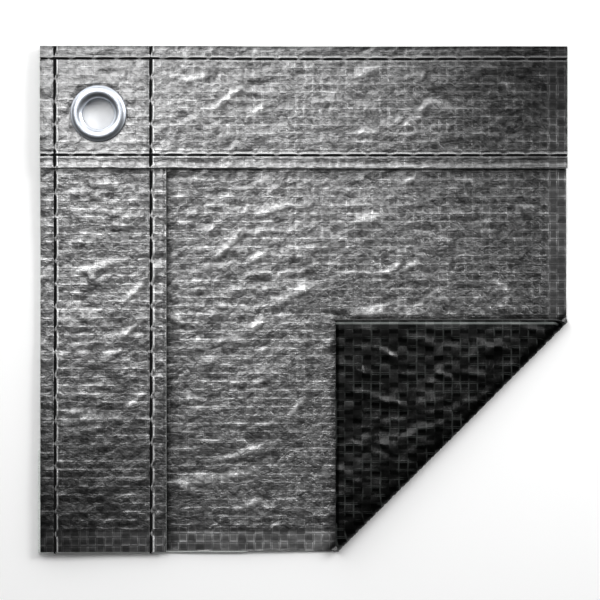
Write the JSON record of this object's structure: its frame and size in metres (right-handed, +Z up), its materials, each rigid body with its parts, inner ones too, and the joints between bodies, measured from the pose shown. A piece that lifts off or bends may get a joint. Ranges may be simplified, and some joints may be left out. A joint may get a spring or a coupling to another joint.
{
  "type": "pool cover corner piece",
  "caption": "Corner piece cut from a coated woven pool cover, silver face up, with sewn edge bands, an eyelet and one corner turned over to its black back.",
  "frame": {"origin": "on the plane that the cloth rests on, under the middle of the outline", "axes": "+X to the right along the top band, +Y towards the top band, +Z up out of the silver face"},
  "size_m": [0.2102, 0.2018, 0.007],
  "materials": {
    "silver_cloth": "coated woven polyethylene, satin silver face and black back",
    "silver_band": "coated woven polyethylene, satin silver face and black back, sewn with black thread",
    "nickel": "nickel-plated brass, polished"
  },
  "bodies": {
    "root": {"cover_sheet": "silver_cloth", "left_band": "silver_band", "top_band": "silver_band", "eyelet": "nickel", "eyelet_ring": "nickel"}
  },
  "joints": []
}
